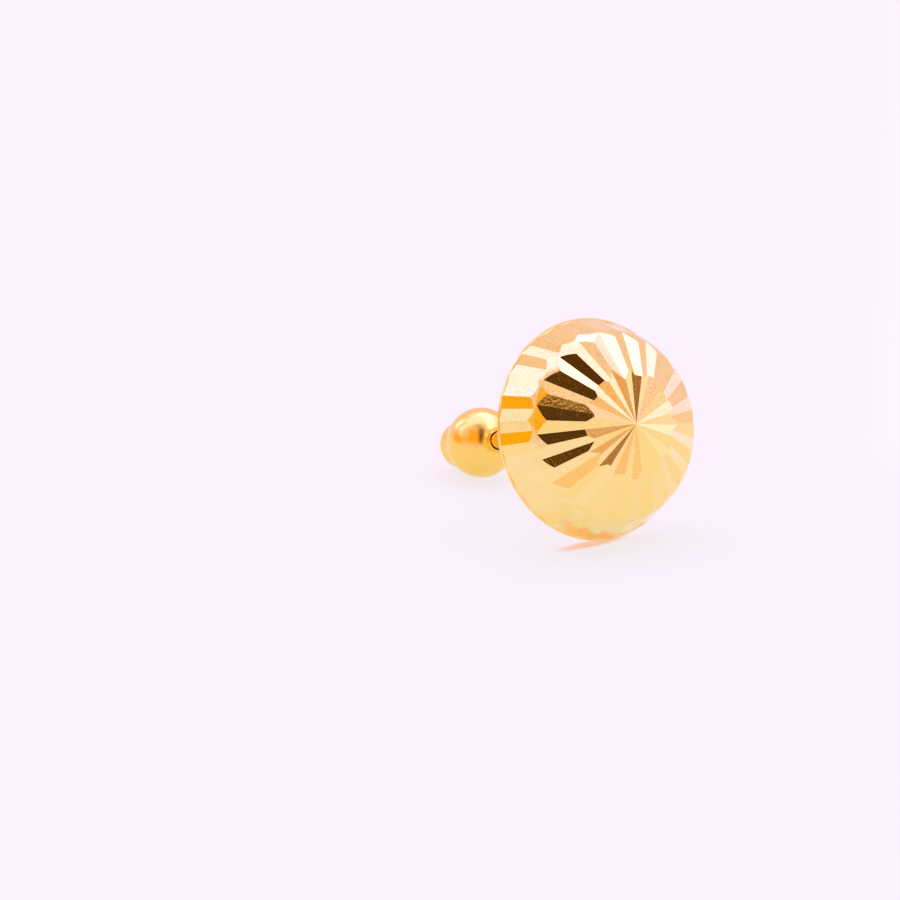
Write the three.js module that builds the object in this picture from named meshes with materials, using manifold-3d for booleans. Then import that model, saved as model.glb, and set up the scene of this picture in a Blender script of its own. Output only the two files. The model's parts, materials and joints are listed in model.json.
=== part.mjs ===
// A diamond-cut gold stud earring with its push-on ball clutch, lying on a flat surface as it rests by itself.
// Millimetres, +Z up. The face of the head looks towards -Y and a little upwards, and the origin is on the
// surface, under the middle of the earring.
import * as THREE from "three";
import { mergeVertices } from "three/addons/utils/BufferGeometryUtils.js";
import Module from "manifold-3d";

const wasm = await Module();
wasm.setup();

// ---- driving dimensions ----------------------------------------------------------------------------------

const headRadius = 5; // the rim of the back plate
const headHeight = 3.6; // from the flat back to the pole where the star's cuts meet
const plateThickness = 0.1;
const arrisRadius = 4.25; // the round edge between the crown and the side, before the cuts
const arrisHeight = 1.875; // above the flat back
const crownRadius = 5.3; // of the sphere above the arris
const sideRadius = 5.1; // of the sphere below it
const crownSteps = 24;
const sideSteps = 8;
const headSegments = 120;
const plateSegments = 20; // flats round the rim of the back plate, one of which the earring rests on

// Each ring is a circle of straight V cuts. The bottom of a cut runs down from the axis, at apex above the
// flat back, and falls by slope degrees. Its two sides rise by flare degrees. The cuts are made by hand, so they
// are not quite evenly spaced: at is the angle of each, from the local X axis, and depthWander is how far in
// millimetres their depths differ.
const cutRings = [
  {
    at: [18, 53, 76, 100, 123.5, 146, 175, 199, 217, 236.5, 260, 285, 322, 350],
    apex: headHeight,
    slope: 11.75,
    flare: 15.5,
    depthWander: 0,
  },
  {
    at: [0.5, 19.5, 39, 55.5, 72.5, 89.5, 106, 123, 141, 157, 175, 190.5, 206, 223, 240, 257, 274.5, 291.5, 309, 326, 343],
    apex: 4.61,
    slope: 32.5,
    flare: 11.5,
    depthWander: 0.015,
  },
  { at: evenly(28, 5.1, 0.5), apex: 13.6, slope: 70, flare: 3, depthWander: 0.005 },
];
const cutWidth = 1.6; // each side of the bottom of a cut, wide enough to meet its neighbours
const cutHeight = 1.2;
const cutLength = 16;
const cutLead = 0.5; // how far past the axis a cut starts, in the air over the far side of the dome

const postRadius = 0.425;
const postLength = 11;
const postTip = 0.15; // chamfer of the tip
const solderFillet = 0.2; // where the post meets the flat back

const clutchRadius = 1.63;
const clutchPlace = 9.45; // from the flat back to the middle of the clutch's ball
const boreRadius = 0.48;
const mouthRadius = 0.6; // where the bore opens at the front of the ball
const mouthDepth = 0.15;
const collarRadius = 1.07;
const collarReach = 2.25; // from the middle of the ball to the back of the collar
const collarRound = 0.46;
const clutchSegments = 64;
const clutchSteps = 26;

const gold = { color: 0xe8b64c, metalness: 1 };
const headGold = new THREE.MeshStandardMaterial({ ...gold, roughness: 0.12 });
const clutchGold = new THREE.MeshStandardMaterial({ ...gold, roughness: 0.22 });

// ---- helpers ---------------------------------------------------------------------------------------------

const degrees = THREE.MathUtils.degToRad;

// A closed mesh as a solid for joining and cutting.
function toSolid(geometry) {
  const bare = geometry.clone();
  bare.deleteAttribute("normal");
  bare.deleteAttribute("uv");
  const merged = mergeVertices(bare, 1e-4);
  return new wasm.Manifold(
    new wasm.Mesh({
      numProp: 3,
      vertProperties: merged.attributes.position.array,
      triVerts: new Uint32Array(merged.index.array),
    }),
  );
}

function toGeometry(solid) {
  const mesh = solid.getMesh();
  const geometry = new THREE.BufferGeometry();
  geometry.setAttribute("position", new THREE.BufferAttribute(mesh.vertProperties, 3));
  geometry.setIndex(new THREE.BufferAttribute(mesh.triVerts, 1));
  geometry.computeVertexNormals();
  return geometry;
}

// Turns a profile of [radius, height] points round the Z axis, with a flat between two corners at the bottom
// side, so that what is turned rests steadily on it.
function turned(profile, segments) {
  const points = profile.map(([radius, height]) => new THREE.Vector2(radius, height));
  return new THREE.LatheGeometry(points, segments, Math.PI / segments).rotateX(Math.PI / 2);
}

// Angles spread round a circle from a first one, each a little off its place.
function evenly(count, first, wander) {
  return Array.from({ length: count }, (_, i) => first + (360 * i) / count + wander * Math.sin(2.4 * i + count));
}

// Points on a circle about [0, centre], from one angle off the axis to another, in degrees.
function arc(radius, centre, from, to, steps) {
  return Array.from({ length: steps + 1 }, (_, i) => {
    const angle = degrees(from + ((to - from) * i) / steps);
    return [radius * Math.sin(angle), centre + radius * Math.cos(angle)];
  });
}

// ---- head and post ---------------------------------------------------------------------------------------

// The smooth dome before its cuts, which ends halfway down in the back plate.
function dome() {
  const base = plateThickness / 2;
  const angleAt = (height, centre, radius) => THREE.MathUtils.radToDeg(Math.acos((height - centre) / radius));
  const sideCentre = arrisHeight - Math.sqrt(sideRadius ** 2 - arrisRadius ** 2);
  const crownCentre = arrisHeight - Math.sqrt(crownRadius ** 2 - arrisRadius ** 2);
  const sideFrom = angleAt(base, sideCentre, sideRadius);
  const sideTo = angleAt(arrisHeight, sideCentre, sideRadius);
  const crownFrom = angleAt(arrisHeight, crownCentre, crownRadius);
  return toSolid(
    turned(
      [
        [0, base],
        ...arc(sideRadius, sideCentre, sideFrom, sideTo, sideSteps),
        ...arc(crownRadius, crownCentre, crownFrom, 0, crownSteps).slice(1),
      ],
      headSegments,
    ),
  );
}

// One V cut, as the prism of metal and air that the cutter takes away.
function cut({ apex, slope, flare }, angle, depth) {
  const rise = cutWidth * Math.tan(degrees(flare));
  const section = new THREE.Shape([
    new THREE.Vector2(0, 0),
    new THREE.Vector2(cutWidth, rise),
    new THREE.Vector2(cutWidth, rise + cutHeight),
    new THREE.Vector2(-cutWidth, rise + cutHeight),
    new THREE.Vector2(-cutWidth, rise),
  ]);
  const prism = new THREE.ExtrudeGeometry(section, { depth: cutLength, bevelEnabled: false }).translate(0, 0, -cutLead);
  const out = new THREE.Vector3(Math.cos(angle), Math.sin(angle), 0);
  const up = new THREE.Vector3(0, 0, 1);
  const fall = degrees(slope);
  const along = out.clone().multiplyScalar(Math.cos(fall)).addScaledVector(up, -Math.sin(fall));
  const outwards = out.clone().multiplyScalar(Math.sin(fall)).addScaledVector(up, Math.cos(fall));
  const across = new THREE.Vector3().crossVectors(outwards, along);
  const start = new THREE.Vector3(0, 0, apex).addScaledVector(outwards, -depth);
  const place = new THREE.Matrix4().makeBasis(across, outwards, along).setPosition(start);
  return toSolid(prism.applyMatrix4(place));
}

function cutRing(ring) {
  return ring.at.map((angle, i) => cut(ring, degrees(angle), ring.depthWander * Math.sin(1.7 * i)));
}

// The back plate and the post soldered to it, reaching into the dome that closes them.
function backAndPost() {
  const inside = 0.4 * headRadius;
  const corner = headRadius / Math.cos(Math.PI / plateSegments);
  return toSolid(
    turned(
      [
        [0, -postLength],
        [postRadius - postTip, -postLength],
        [postRadius, -postLength + postTip],
        [postRadius, -solderFillet],
        [postRadius + 0.3 * solderFillet, -0.3 * solderFillet],
        [postRadius + solderFillet, 0],
        [corner, 0],
        [corner, plateThickness],
        [inside, plateThickness],
        [inside, inside],
        [0, inside],
      ],
      plateSegments,
    ),
  );
}

function headAndPost() {
  let head = dome();
  for (const ring of cutRings) for (const tool of cutRing(ring)) head = head.subtract(tool);
  const mesh = new THREE.Mesh(toGeometry(head.add(backAndPost())), headGold);
  mesh.name = "head_and_post";
  return mesh;
}

// ---- clutch ----------------------------------------------------------------------------------------------

// A ball bored through for the post, with a short round collar at its back. Its front looks towards +Z.
function clutch() {
  const mouthAngle = THREE.MathUtils.radToDeg(Math.asin(mouthRadius / clutchRadius));
  const mouthHeight = clutchRadius * Math.cos(degrees(mouthAngle));
  const waistAngle = 180 - THREE.MathUtils.radToDeg(Math.asin(collarRadius / clutchRadius));
  const bend = collarRadius - collarRound;
  const backEdge = arc(collarRound, 0, 90, 180, 6).map(([x, z]) => [bend + x, z + collarRound - collarReach]);
  const profile = [
    [boreRadius, mouthHeight - mouthDepth],
    [mouthRadius, mouthHeight],
    ...arc(clutchRadius, 0, mouthAngle, waistAngle, clutchSteps).slice(1),
    ...backEdge,
    [boreRadius, -collarReach],
    [boreRadius, mouthHeight - mouthDepth],
  ];
  const mesh = new THREE.Mesh(turned(profile.reverse(), clutchSegments), clutchGold);
  mesh.name = "clutch";
  mesh.position.z = -clutchPlace;
  return mesh;
}

// ---- the earring as it lies ------------------------------------------------------------------------------

// It lies on the rim of its back plate and on the ball of its clutch, so its face looks up by this angle.
const reach = Math.hypot(clutchPlace, headRadius);
const ballRest = clutchRadius * Math.cos(Math.PI / clutchSegments);
const restTilt = Math.atan2(headRadius, clutchPlace) - Math.asin(ballRest / reach);

const lying = new THREE.Group();
lying.add(headAndPost(), clutch());
lying.rotation.x = Math.PI / 2 - restTilt;

const earring = new THREE.Group();
earring.add(lying);
const extent = new THREE.Box3().setFromObject(lying, true);
lying.position.set(0, -(extent.min.y + extent.max.y) / 2, -extent.min.z);

export default earring;
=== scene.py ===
# A diamond-cut gold stud earring and its ball clutch, lying on a pale table.
# A name that ends in Mm is in millimetres, and one that ends in Degrees is in degrees. Other lengths are in metres.
import json
import math

import bpy
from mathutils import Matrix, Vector


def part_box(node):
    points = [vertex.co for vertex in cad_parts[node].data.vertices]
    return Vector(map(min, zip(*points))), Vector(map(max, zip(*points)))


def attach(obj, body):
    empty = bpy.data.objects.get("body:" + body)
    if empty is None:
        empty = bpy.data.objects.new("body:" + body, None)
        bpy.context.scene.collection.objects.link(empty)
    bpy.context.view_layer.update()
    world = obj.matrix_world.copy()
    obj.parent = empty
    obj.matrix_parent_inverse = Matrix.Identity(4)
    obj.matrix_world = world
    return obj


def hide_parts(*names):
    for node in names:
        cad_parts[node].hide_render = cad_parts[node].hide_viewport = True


mm = 0.001
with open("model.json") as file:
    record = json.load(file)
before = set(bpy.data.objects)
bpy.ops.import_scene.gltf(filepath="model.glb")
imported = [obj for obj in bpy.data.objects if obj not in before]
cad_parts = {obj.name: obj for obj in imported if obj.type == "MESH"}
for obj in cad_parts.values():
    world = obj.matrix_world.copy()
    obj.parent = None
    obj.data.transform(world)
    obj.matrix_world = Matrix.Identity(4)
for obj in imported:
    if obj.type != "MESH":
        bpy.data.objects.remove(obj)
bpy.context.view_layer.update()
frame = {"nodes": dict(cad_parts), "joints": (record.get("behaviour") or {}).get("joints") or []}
print("frame loaded")

# where things are, from the frame
postAxis = Vector(frame["joints"][0]["axis"]).normalized()  # from the head back to the clutch
clutchLow, clutchHigh = (Vector(corner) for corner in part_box("clutch"))
ballRadius = (clutchHigh.z - clutchLow.z) / 2
ballCentre = Vector((0, clutchLow.y + ballRadius, (clutchLow.z + clutchHigh.z) / 2))
ballPlaceMm = 9.45  # from the flat back of the head to the middle of the ball
backCentre = ballCentre - postAxis * ballPlaceMm * mm
turnToAxis = math.pi / 2 - math.asin(-postAxis.z)  # turns +Z to the way the head faces
bisectSlack = 0.0001 * mm
heightSlackMm = 0.0005  # a point this near to a height counts as on it


# helpers for modelling

def deselectAll():
    if bpy.context.object and bpy.context.object.mode != "OBJECT":
        bpy.ops.object.mode_set(mode="OBJECT")
    bpy.ops.object.select_all(action="DESELECT")


def makeActive(piece):
    deselectAll()
    piece.select_set(True)
    bpy.context.view_layer.objects.active = piece


def editMode(piece, kind="VERT", select="DESELECT"):
    makeActive(piece)
    bpy.ops.object.mode_set(mode="EDIT")
    bpy.ops.mesh.select_mode(type=kind)
    bpy.ops.mesh.select_all(action=select)


def objectMode():
    bpy.ops.object.mode_set(mode="OBJECT")


def selectWhere(piece, kind, test):
    # picks vertices or faces by where they are, then goes back to edit mode
    editMode(piece, kind)
    objectMode()
    parts = piece.data.vertices if kind == "VERT" else piece.data.polygons
    for part in parts:
        part.select = test(part.co if kind == "VERT" else part.center)
    bpy.ops.object.mode_set(mode="EDIT")


def mergeDoubles(piece, within):
    # merges the points of a closed shell and turns its faces outwards, and stays in edit mode
    editMode(piece, select="SELECT")
    bpy.ops.mesh.remove_doubles(threshold=within)
    bpy.ops.mesh.normals_make_consistent(inside=False)


def smoothBelow(piece, degrees):
    makeActive(piece)
    bpy.ops.object.shade_smooth_by_angle(angle=math.radians(degrees))


def layAlongPost(piece, centre):
    # a piece is made round the Z axis, facing +Z, and is then turned and moved to its place
    makeActive(piece)
    piece.rotation_euler = (turnToAxis, 0, 0)
    piece.location = centre
    bpy.ops.object.transform_apply(location=True, rotation=True, scale=True)


def pullRing(radius, height, fromRadius, fromHeight):
    # extrudes the selected ring along the axis and widens or narrows it, all in millimetres
    bpy.ops.mesh.extrude_region_move(TRANSFORM_OT_translate={"value": (0, 0, (height - fromHeight) * mm)})
    bpy.ops.transform.resize(
        value=(radius / fromRadius, radius / fromRadius, 1), center_override=(0, 0, height * mm),
    )


# helpers for materials

def newMaterial(name):
    material = bpy.data.materials.new(name)
    material.use_nodes = True
    tree = material.node_tree
    tree.nodes.clear()
    output = tree.nodes.new("ShaderNodeOutputMaterial")
    shader = tree.nodes.new("ShaderNodeBsdfPrincipled")
    tree.links.new(shader.outputs["BSDF"], output.inputs["Surface"])
    return material, tree, shader


def fillInputs(tree, node, inputs):
    # a socket is linked, and a plain value is typed in
    for name, value in inputs.items():
        socket = node.inputs[name]
        if isinstance(value, bpy.types.NodeSocket):
            tree.links.new(value, socket)
        elif socket.type == "RGBA":
            socket.default_value = (*value, 1)
        else:
            socket.default_value = value


def addNode(tree, kind, inputs=None, **settings):
    node = tree.nodes.new(kind)
    for name, value in settings.items():
        setattr(node, name, value)
    fillInputs(tree, node, inputs or {})
    return node


def maths(tree, operation, *values):
    return addNode(tree, "ShaderNodeMath", dict(enumerate(values)), operation=operation).outputs[0]


def vectorMaths(tree, operation, *values):
    node = addNode(tree, "ShaderNodeVectorMath", dict(enumerate(values)), operation=operation)
    return node.outputs["Value" if operation in ("LENGTH", "DOT_PRODUCT") else "Vector"]


def ramp(tree, value, start, end=(0, 1), kind="LINEAR"):
    # takes the range start to the range end
    inputs = {"Value": value, "From Min": start[0], "From Max": start[1], "To Min": end[0], "To Max": end[1]}
    return addNode(tree, "ShaderNodeMapRange", inputs, interpolation_type=kind).outputs["Result"]


def noise(tree, inputs, **settings):
    return addNode(tree, "ShaderNodeTexNoise", inputs, **settings).outputs["Fac"]


def mixNumber(tree, factor, below, above):
    inputs = {"Factor": factor, "A": below, "B": above}
    return addNode(tree, "ShaderNodeMix", inputs, data_type="FLOAT").outputs["Result"]


def mixColour(tree, factor, below, above):
    # sockets 6, 7 and 2 are the colour ones
    return addNode(tree, "ShaderNodeMix", {0: factor, 6: below, 7: above}, data_type="RGBA").outputs[2]


def axisCoordinates(tree):
    # object coordinates in millimetres, with Z along the post and the flat back at 0
    place = addNode(tree, "ShaderNodeTexCoord").outputs["Object"]
    moved = vectorMaths(tree, "SUBTRACT", place, backCentre)
    turned = addNode(tree, "ShaderNodeVectorRotate", {"Vector": moved, "Angle": -turnToAxis}, rotation_type="X_AXIS")
    scaled = addNode(tree, "ShaderNodeVectorMath", {0: turned.outputs[0], "Scale": 1 / mm}, operation="SCALE")
    return scaled.outputs[0]


# gold

gold = {
    "colour": (1.0, 0.79, 0.30),
    "depthMm": 0.004,  # how deep the finest marks are
    "noiseMiddle": (0.3, 0.7),  # nearly all of a noise lies between these
}
cuts = {
    "paleCut": (1.0, 0.805, 0.335),  # no two cuts are polished quite alike
    "deepCut": (1.0, 0.772, 0.255),
    "hollowMarkColour": (0.88, 0.64, 0.215),  # in the bottoms of the tool marks
    "roughness": 0.065,
    "roughnessSpread": (0.75, 1.5),
    "toolMarks": 13,  # marks per millimetre that the cutter leaves across each cut
    "toolMarkLengths": 7,  # how short they are, per radian round the head
    "toolMarkSlant": 0.35,  # millimetres along the cut, per radian
    "grain": 8,  # specks per millimetre
    "dullness": 3.7,  # how often the cuts turn duller and clearer again, per radian
    "dullRange": (0.40, 0.60),
    "speckle": (0.4, 1.0),  # the share of specks in a clear cut and in a dull one
    "hollowMarkRange": (0.38, 0.56),
    "hollowMarkHeightsMm": (-1.6, 1.2),  # below the first height the marks hardly darken the gold
    "hollowMarkShare": (0.12, 1.0),
}
turned = {
    "clutchColour": (1.0, 0.69, 0.165),
    "roughness": 0.2,
    "roughnessSpread": (0.8, 1.25),
    "rings": 14,  # rings per millimetre that the lathe leaves
    "grain": 2.2,
    "grainShare": 0.6,
    "strength": 0.2,
}


def roughnessOver(tree, grain, roughness, spread):
    return ramp(tree, grain, gold["noiseMiddle"], [roughness * share for share in spread])


def makeCutGold():
    # the cutter leaves fine marks across each cut, and some cuts are duller and more speckled than others
    material, tree, shader = newMaterial("cutGold")
    place = axisCoordinates(tree)
    x, y, z = addNode(tree, "ShaderNodeSeparateXYZ", {0: place}).outputs
    around = maths(tree, "ARCTAN2", y, x)
    flat = addNode(tree, "ShaderNodeCombineXYZ", {"X": x, "Y": y}).outputs[0]
    alongCut = maths(tree, "SUBTRACT", vectorMaths(tree, "LENGTH", flat), z)
    slanted = maths(tree, "MULTIPLY_ADD", around, cuts["toolMarkSlant"], alongCut)
    strokes = addNode(tree, "ShaderNodeCombineXYZ", {
        "X": maths(tree, "MULTIPLY", slanted, cuts["toolMarks"]),
        "Y": maths(tree, "MULTIPLY", around, cuts["toolMarkLengths"]),
    }).outputs[0]
    marks = noise(tree, {"Vector": strokes, "Scale": 1.0, "Detail": 2.0, "Roughness": 0.55})
    grain = noise(tree, {"Vector": place, "Scale": cuts["grain"], "Detail": 3.0, "Roughness": 0.6})
    dull = noise(tree, {"W": around, "Scale": cuts["dullness"], "Detail": 0.0}, noise_dimensions="1D")
    speckle = ramp(tree, dull, cuts["dullRange"], cuts["speckle"])
    surface = mixNumber(tree, speckle, marks, grain)
    bump = addNode(
        tree, "ShaderNodeBump", {"Strength": 1.0, "Distance": gold["depthMm"] * mm, "Height": surface},
    )
    # the low points of the marks are coloured darker, more so higher up the head and on the duller cuts
    upper = ramp(tree, y, cuts["hollowMarkHeightsMm"], cuts["hollowMarkShare"])
    deep = ramp(tree, surface, cuts["hollowMarkRange"], (1, 0))
    darkHollows = maths(tree, "MULTIPLY", deep, maths(tree, "MULTIPLY", upper, speckle))
    cutTone = addNode(tree, "ShaderNodeAttribute", attribute_name="cutTone").outputs["Fac"]
    clean = mixColour(tree, cutTone, cuts["paleCut"], cuts["deepCut"])
    fillInputs(tree, shader, {
        "Base Color": mixColour(tree, darkHollows, clean, cuts["hollowMarkColour"]),
        "Metallic": 1,
        "Roughness": roughnessOver(tree, grain, cuts["roughness"], cuts["roughnessSpread"]),
        "Normal": bump.outputs["Normal"],
    })
    return material


def makeTurnedGold(name, colour, roughness):
    # polished on a lathe: faint rings round the post's axis
    material, tree, shader = newMaterial(name)
    place = axisCoordinates(tree)
    z = addNode(tree, "ShaderNodeSeparateXYZ", {0: place}).outputs["Z"]
    rings = noise(tree, {"W": z, "Scale": turned["rings"], "Detail": 3.0}, noise_dimensions="1D")
    grain = noise(tree, {"Vector": place, "Scale": turned["grain"], "Detail": 3.0})
    bump = addNode(tree, "ShaderNodeBump", {
        "Strength": turned["strength"],
        "Distance": gold["depthMm"] * mm,
        "Height": mixNumber(tree, turned["grainShare"], rings, grain),
    })
    fillInputs(tree, shader, {
        "Base Color": colour,
        "Metallic": 1,
        "Roughness": roughnessOver(tree, grain, roughness, turned["roughnessSpread"]),
        "Normal": bump.outputs["Normal"],
    })
    return material


cutGold = makeCutGold()
turnedGold = makeTurnedGold("turnedGold", turned["clutchColour"], turned["roughness"])
plateGold = makeTurnedGold("plateGold", gold["colour"], cuts["roughness"])
print("gold made")


# head and post

head = {
    "edgeMm": 0.018,  # how far the edges between the cuts are rounded
    "edgeSegments": 2,
    "sharpDegrees": 3.4,  # the edges steeper than this are the ones that are rounded
    "smoothDegrees": 25,
    "mergeMm": 0.0015,
    "oneCutDegrees": 0.3,  # faces that differ by less than this are one cut
    "flatMm2": 0.06,  # a cut is larger than this, and what is smaller is a rounded edge
    "baseMm": 0.102,  # the cut part starts here, just inside the front of the back plate
    "aboveBaseMm": 0.008,
    "toneSpread": Vector((37, 53, 71)),  # makes a cut's tone depend on the way it faces, with no pattern to see
}
plate = {
    "sides": 160,
    "smoothDegrees": 40,
    "profileMm": [  # the post from its tip and then the back plate, as radius and height
        (0.275, -11), (0.393, -10.894), (0.425, -10.82), (0.425, -0.2), (0.437, -0.125), (0.48, -0.062),
        (0.545, -0.02), (0.625, 0), (4.984, 0), (4.996, 0.005), (5.0, 0.017), (5.0, 0.045), (4.974, 0.103),
    ],
}


def makePostAndPlate():
    (radius, height), *steps = plate["profileMm"]
    deselectAll()
    bpy.ops.mesh.primitive_circle_add(
        vertices=plate["sides"], radius=radius * mm, fill_type="NGON", location=(0, 0, 0),
    )
    piece = bpy.context.object
    editMode(piece, select="SELECT")
    bpy.ops.transform.translate(value=(0, 0, height * mm))
    for nextRadius, nextHeight in steps:
        pullRing(nextRadius, nextHeight, radius, height)
        radius, height = nextRadius, nextHeight
    bpy.ops.mesh.select_all(action="SELECT")
    bpy.ops.mesh.normals_make_consistent(inside=False)
    objectMode()
    layAlongPost(piece, backCentre)
    smoothBelow(piece, plate["smoothDegrees"])
    piece.data.materials.append(plateGold)
    return piece


def roundCutEdges(piece):
    makeActive(piece)
    bevel = piece.modifiers.new("Bevel", "BEVEL")
    bevel.width = head["edgeMm"] * mm
    bevel.segments = head["edgeSegments"]
    bevel.limit_method = "ANGLE"
    bevel.angle_limit = math.radians(head["sharpDegrees"])
    bevel.use_clamp_overlap = True
    bpy.ops.object.modifier_apply(modifier=bevel.name)


def flattenCuts(piece):
    # the cuts themselves are flat: every face of any size in front of the back plate
    frontMm = head["baseMm"] + head["aboveBaseMm"]
    selectWhere(piece, "FACE", lambda at: (at - backCentre).dot(-postAxis) > frontMm * mm)
    objectMode()
    cutTone = piece.data.attributes.new("cutTone", "FLOAT", "FACE")
    for face in piece.data.polygons:
        if face.select and face.area > head["flatMm2"] * mm ** 2:
            face.use_smooth = False
        cutTone.data[face.index].value = 0.5 + 0.5 * math.sin(face.normal.dot(head["toneSpread"]))


def makeHead():
    makeActive(frame["nodes"]["head_and_post"])
    bpy.ops.object.duplicate()
    piece = bpy.context.object
    piece.name = piece.data.name = "cutHeadAndPost"
    mergeDoubles(piece, head["mergeMm"] * mm)
    bpy.ops.mesh.dissolve_limited(angle_limit=math.radians(head["oneCutDegrees"]))
    objectMode()
    roundCutEdges(piece)
    smoothBelow(piece, head["smoothDegrees"])
    # only the cut part is kept, and a rounder back plate and post are soldered to it
    editMode(piece, select="SELECT")
    bpy.ops.mesh.bisect(
        plane_co=backCentre - postAxis * head["baseMm"] * mm, plane_no=postAxis,
        clear_outer=True, use_fill=True, threshold=bisectSlack,
    )
    flattenCuts(piece)
    piece.data.materials.clear()
    piece.data.materials.append(cutGold)
    back = makePostAndPlate()
    makeActive(piece)
    back.select_set(True)
    bpy.ops.object.join()
    print("head faces", len(piece.data.polygons))
    return piece


headPiece = makeHead()
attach(headPiece, "stud")
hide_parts("head_and_post")
print("head and post made")


# clutch

clutch = {
    "sides": 96,
    "rings": 64,
    "smoothDegrees": 40,
    "boreMm": 0.445,  # the bore, the mouth and the collar are given by their radii
    "mouthMm": 0.6,
    "mouthDepthMm": 0.02,
    "collarMm": 1.07,
    "collarReachMm": 2.25,  # from the middle of the ball to the back of the collar
    "collarRoundMm": 0.46,
    "lipMm": 0.03,
    "neckMm": 0.12,
    "mergeMm": 0.0002,
}


def heightOnBall(radius):
    return math.sqrt((ballRadius / mm) ** 2 - radius ** 2)


mouthHeight = heightOnBall(clutch["mouthMm"])
waistHeight = -heightOnBall(clutch["collarMm"])


def shapeClutch():
    bore, mouth, collar, reach = (clutch[name] for name in ("boreMm", "mouthMm", "collarMm", "collarReachMm"))
    deselectAll()
    bpy.ops.mesh.primitive_uv_sphere_add(
        segments=clutch["sides"], ring_count=clutch["rings"], radius=ballRadius, location=(0, 0, 0),
    )
    piece = bpy.context.object
    piece.name = piece.data.name = "ballClutch"
    # the ball is cut flat at both ends
    for height, facing in ((mouthHeight, 1), (waistHeight, -1)):
        editMode(piece, select="SELECT")
        bpy.ops.mesh.bisect(
            plane_co=(0, 0, height * mm), plane_no=(0, 0, facing), clear_outer=True, threshold=bisectSlack,
        )
        objectMode()
    # the mouth narrows into the bore
    selectWhere(piece, "VERT", lambda at: at.z > (mouthHeight - heightSlackMm) * mm)
    boreTop = mouthHeight - clutch["mouthDepthMm"]
    pullRing(bore, boreTop, mouth, mouthHeight)
    pullRing(bore, -reach, bore, boreTop)
    objectMode()
    # the collar runs back from the waist and turns in to meet the bore
    middle = (bore + collar) / 2
    selectWhere(
        piece, "VERT",
        lambda at: abs(at.z - waistHeight * mm) < heightSlackMm * mm and math.hypot(at.x, at.y) > middle * mm,
    )
    pullRing(collar, -reach, collar, waistHeight)
    objectMode()
    selectWhere(piece, "VERT", lambda at: at.z < (heightSlackMm - reach) * mm)
    bpy.ops.mesh.select_mode(type="EDGE")
    bpy.ops.mesh.bridge_edge_loops()
    objectMode()
    return piece


def roundRing(piece, radius, height, width, segments):
    # rounds the sharp ring of edges at that radius and height
    nearHeight, nearRadius = 0.002 * mm, 0.01 * mm
    selectWhere(
        piece, "VERT",
        lambda at: abs(at.z - height * mm) < nearHeight and abs(math.hypot(at.x, at.y) - radius * mm) < nearRadius,
    )
    bpy.ops.mesh.select_mode(type="EDGE")
    bpy.ops.mesh.bevel(offset=width * mm, offset_type="OFFSET", segments=segments, profile=0.5)
    objectMode()


def makeClutch():
    piece = shapeClutch()
    for radius, height, width, segments in (
        ("collarMm", -clutch["collarReachMm"], "collarRoundMm", 8),
        ("boreMm", -clutch["collarReachMm"], "lipMm", 3),
        ("mouthMm", mouthHeight, "lipMm", 4),
        ("collarMm", waistHeight, "neckMm", 5),
    ):
        roundRing(piece, clutch[radius], height, clutch[width], segments)
    mergeDoubles(piece, clutch["mergeMm"] * mm)
    objectMode()
    layAlongPost(piece, ballCentre)
    smoothBelow(piece, clutch["smoothDegrees"])
    piece.data.materials.append(turnedGold)
    print("clutch faces", len(piece.data.polygons))
    return piece


clutchPiece = makeClutch()
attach(clutchPiece, "clutch")
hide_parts("clutch")
print("clutch made")


# where the viewer is

view = {
    "azimuth": 35.6,
    "elevation": 18.15,
    "distance": 0.225,  # from the middle of the head's face
    "lens": 203.4,
    "clip": (0.005, 10),
    "faceMm": 3.6,  # from the flat back to the middle of the face
    "asideMm": 8.23,  # the picture's middle is this far left of the head's and this far below it
    "belowMm": 1.25,
}
azimuth, elevation = math.radians(view["azimuth"]), math.radians(view["elevation"])
rightwards = Vector((math.cos(azimuth), -math.sin(azimuth), 0))
backwards = Vector((math.sin(azimuth), math.cos(azimuth), 0))  # away from the viewer


# table

table = {
    "size": 3.0,
    "glow": (0.773, 0.735, 0.75),
    "shade": (0.165, 0.156, 0.168),
    "roughness": 0.6,
    "paintedBounceGlow": (0.80, 0.47, 0.27),  # painted reflected light and contact shade: close under the head the table glows dimmer and orange, as if the gold lit it
    "paintedBounceAtMm": (-1.1, backCentre.y / mm - 1.64),
    "paintedBounceHalfMm": (1.7, 0.36),
    "paintedBounceFade": (0.5, 1.4),
    "paintedBrightPatchGlow": (0.9, 0.84, 1.5),  # painted light: a brighter, bluer patch of glow to the right of the earring and behind it, out of the picture, that the right of the head reflects
    "paintedBrightPatchRight": (0.0142, 0.0186),
    "paintedBrightPatchBehind": (-0.001, 0.006),
    "paintedBrightPatchSlants": (0.055, 0.35),
}


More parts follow.
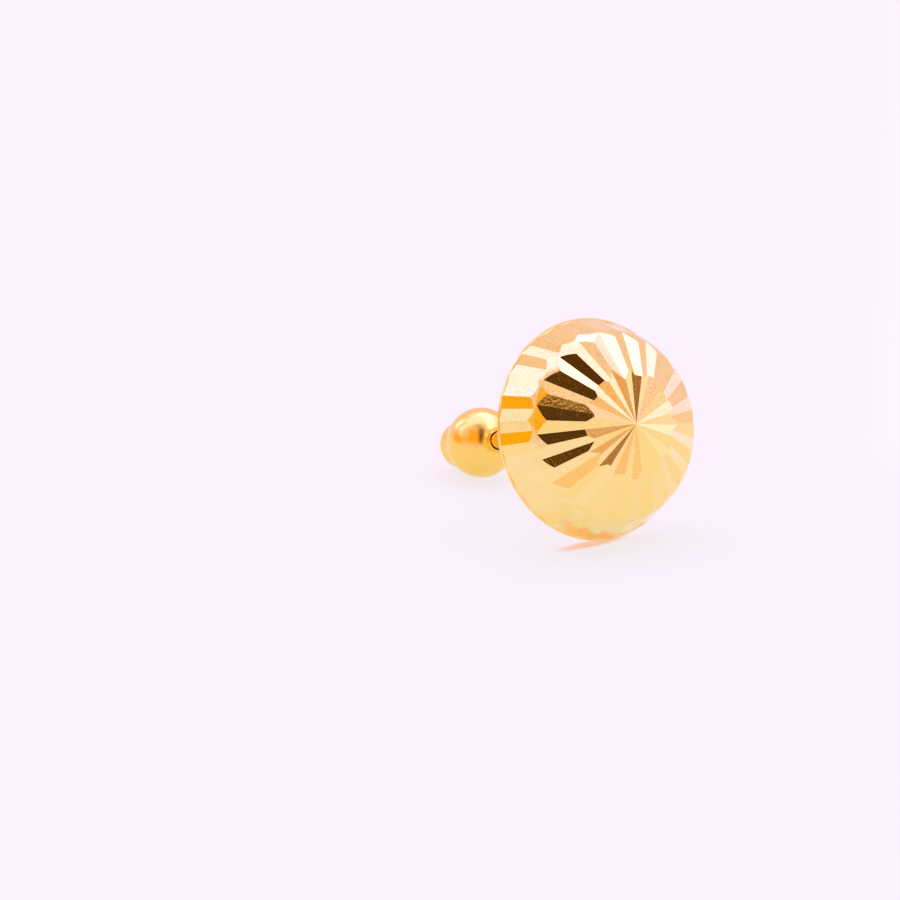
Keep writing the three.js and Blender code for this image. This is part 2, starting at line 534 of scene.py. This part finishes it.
def makeTable():
    # a pale glass light table: it glows, so shadows on it are faint
    deselectAll()
    bpy.ops.mesh.primitive_plane_add(size=table["size"], location=(0, 0, 0))
    piece = bpy.context.object
    piece.name = "table"
    material, tree, shader = newMaterial("paleTable")
    place = addNode(tree, "ShaderNodeTexCoord").outputs["Object"]

    # painted light and shade: the glow under the head is dimmed and turned orange, standing in for light from the
    # gold and its contact shade
    (x, y), (halfX, halfY) = table["paintedBounceAtMm"], table["paintedBounceHalfMm"]
    off = vectorMaths(tree, "SUBTRACT", place, (x * mm, y * mm, 0))
    scaled = vectorMaths(tree, "MULTIPLY", off, (1 / halfX / mm, 1 / halfY / mm, 0))
    outsidePaintedBounce = ramp(tree, vectorMaths(tree, "LENGTH", scaled), table["paintedBounceFade"], kind="SMOOTHSTEP")

    # painted light: the table glows brighter and bluer to the right of the earring and behind it
    rightSlant, behindSlant = table["paintedBrightPatchSlants"]
    right = vectorMaths(tree, "DOT_PRODUCT", place, rightwards - rightSlant * backwards)
    behind = vectorMaths(tree, "DOT_PRODUCT", place, backwards - behindSlant * rightwards)
    paintedBrightPatch = maths(
        tree, "MULTIPLY",
        ramp(tree, right, table["paintedBrightPatchRight"], kind="SMOOTHSTEP"),
        ramp(tree, behind, table["paintedBrightPatchBehind"], kind="SMOOTHSTEP"),
    )
    # the glow, with the painted orange patch under the head
    plain = mixColour(tree, outsidePaintedBounce, table["paintedBounceGlow"], table["glow"])
    fillInputs(tree, shader, {
        "Base Color": table["shade"],
        "Roughness": table["roughness"],
        "Specular IOR Level": 0.0,
        "Emission Color": mixColour(tree, paintedBrightPatch, plain, table["paintedBrightPatchGlow"]),
        "Emission Strength": 1.0,
    })
    piece.data.materials.append(material)


def makeCamera():
    back = Vector((
        -math.sin(azimuth) * math.cos(elevation), -math.cos(azimuth) * math.cos(elevation), math.sin(elevation),
    ))
    up = back.cross(rightwards)
    face = backCentre - postAxis * view["faceMm"] * mm
    aim = face - rightwards * view["asideMm"] * mm - up * view["belowMm"] * mm
    data = bpy.data.cameras.new("camera")
    data.lens = view["lens"]
    data.clip_start, data.clip_end = view["clip"]
    camera = bpy.data.objects.new("camera", data)
    bpy.context.collection.objects.link(camera)
    camera.location = face + back * view["distance"]
    camera.rotation_euler = (aim - camera.location).to_track_quat("-Z", "Y").to_euler()
    bpy.context.scene.camera = camera


makeTable()
makeCamera()
print("table and camera made")


# studio

# What stands round the table and shows in the gold. Angles are in degrees: to the right of the viewer, and up.
# A card is flat, and its half sizes and soft edge are angles too.
room = {
    "walls": (0.97, 0.745, 0.94),
    "behindTable": (0.973, 0.88, 1.0),  # what the viewer sees past the table's edge
    "leastUp": 0.05,  # the softbox never comes nearer the horizon than this
    "leastOutwards": 0.01,
    "leastFacing": 0.02,  # a card shows only on its own side
}
softbox = {"right": (-1.95, 1.02), "near": (-1.06, 0.12), "soft": 0.07, "light": (1.9, 1.25, 2.7)}  # at height 1
cards = [
    {"name": "lampCore", "at": (112, 68), "half": (28, 11), "soft": 4, "light": (2.2, 1.8, 3.4)},
    {"name": "backLamp", "at": (163, 57), "half": (14, 8), "soft": 3, "light": (2.6, 2.3, 5.0)},
    {"name": "leftLamp", "at": (-125.5, 27), "half": (6.5, 11), "soft": 2, "light": (2.2, 1.9, 4.2)},
    {"name": "leftStand", "at": (-112.5, 30), "half": (4.5, 19), "soft": 1, "light": (0.97, 0.71, 0.84)},
    {"name": "backStand", "at": (-139, 30), "half": (5, 20), "soft": 1, "light": (0.98, 0.72, 0.88)},
    {"name": "leftPale", "at": (-84, 24), "half": (8, 4), "soft": 2, "light": (1.0, 1.0, 1.4)},
    {"name": "leftGold", "at": (-88, 10), "half": (17, 9.5), "soft": 1, "light": (1.0, 0.51, 0.012)},
    {"name": "goldenWall", "at": (-24, 35), "half": (24, 22), "soft": 3, "light": (1.0, 0.53, 0.05)},
    {"name": "goldenLow", "at": (-61, 19.5), "half": (11, 7.5), "soft": 3, "light": (1.0, 0.6, 0.16)},
    {"name": "lowWarm", "at": (0, 6), "half": (6, 5), "soft": 2, "light": (1.0, 0.70, 0.56)},
    {"name": "topShade", "at": (-30, 73), "half": (9, 6), "soft": 4, "light": (0.6, 0.36, 0.32)},
    {"name": "warmWall", "at": (34, 8), "half": (17, 16), "soft": 4, "light": (1.0, 0.65, 0.53)},
    {"name": "warmCurtain", "at": (45, 38), "half": (17, 12), "soft": 3, "light": (0.86, 0.50, 0.36)},
    {"name": "lampHead", "at": (48.5, 43.5), "half": (3.5, 3.5), "soft": 1.5, "light": (0.33, 0.17, 0.08)},
    {"name": "lampStand", "at": (31, 26.5), "half": (4, 3.5), "soft": 1.5, "light": (0.42, 0.22, 0.12)},
    {"name": "rightLow", "at": (112, 9), "half": (9, 9), "soft": 5, "light": (1.0, 0.95, 1.2)},
    {"name": "rightFill", "at": (102, 31), "half": (13, 15), "soft": 7, "light": (1.3, 1.15, 1.95)},
    {"name": "viewer", "at": (2.5, 40.8), "half": (8.2, 25.6), "soft": 1.5, "light": (0.09, 0.038, 0.01)},
]


def makeRoom():
    world = bpy.data.worlds.new("room")
    bpy.context.scene.world = world
    world.use_nodes = True
    tree = world.node_tree
    tree.nodes.clear()
    output = addNode(tree, "ShaderNodeOutputWorld")
    direction = addNode(tree, "ShaderNodeTexCoord").outputs["Generated"]

    def turnedTo(right, up):
        # the direction as seen along the card's own axes: X to the right, Y outwards, Z up
        turn = (math.radians(up), 0, math.radians(180 - view["azimuth"] + right))
        node = addNode(tree, "ShaderNodeMapping", {"Vector": direction, "Rotation": turn}, vector_type="TEXTURE")
        return addNode(tree, "ShaderNodeSeparateXYZ", {0: node.outputs[0]}).outputs

    def inside(value, low, high, soft):
        middle, half = (low + high) / 2, (high - low) / 2
        off = maths(tree, "ABSOLUTE", maths(tree, "SUBTRACT", value, middle))
        return ramp(tree, off, (half - soft, half + soft), (1, 0), "SMOOTHSTEP")

    x, y, z = turnedTo(180, 0)  # Y away from the viewer
    height = maths(tree, "MAXIMUM", z, room["leastUp"])
    right = maths(tree, "DIVIDE", x, height)
    near = maths(tree, "DIVIDE", maths(tree, "MULTIPLY", y, -1.0), height)
    shape = maths(
        tree, "MULTIPLY",
        inside(right, *softbox["right"], softbox["soft"]), inside(near, *softbox["near"], softbox["soft"]),
    )
    above = maths(tree, "GREATER_THAN", z, room["leastUp"])
    colour = mixColour(tree, maths(tree, "MULTIPLY", shape, above), room["walls"], softbox["light"])
    for card in cards:
        x, y, z = turnedTo(*card["at"])
        outwards = maths(tree, "MAXIMUM", y, room["leastOutwards"])
        soft = math.radians(card["soft"])
        halfWide, halfHigh = (math.tan(math.radians(angle)) for angle in card["half"])
        wide = inside(maths(tree, "DIVIDE", x, outwards), -halfWide, halfWide, soft)
        high = inside(maths(tree, "DIVIDE", z, outwards), -halfHigh, halfHigh, soft)
        facing = maths(tree, "GREATER_THAN", y, room["leastFacing"])
        share = maths(tree, "MULTIPLY", maths(tree, "MULTIPLY", wide, high), facing)
        colour = mixColour(tree, share, colour, card["light"])
    seen = addNode(tree, "ShaderNodeLightPath").outputs["Is Camera Ray"]
    colour = mixColour(tree, seen, colour, room["behindTable"])
    background = addNode(tree, "ShaderNodeBackground", {"Color": colour, "Strength": 1.0})
    tree.links.new(background.outputs[0], output.inputs["Surface"])


makeRoom()
bpy.context.scene.view_settings.view_transform = "Standard"
print("studio made")
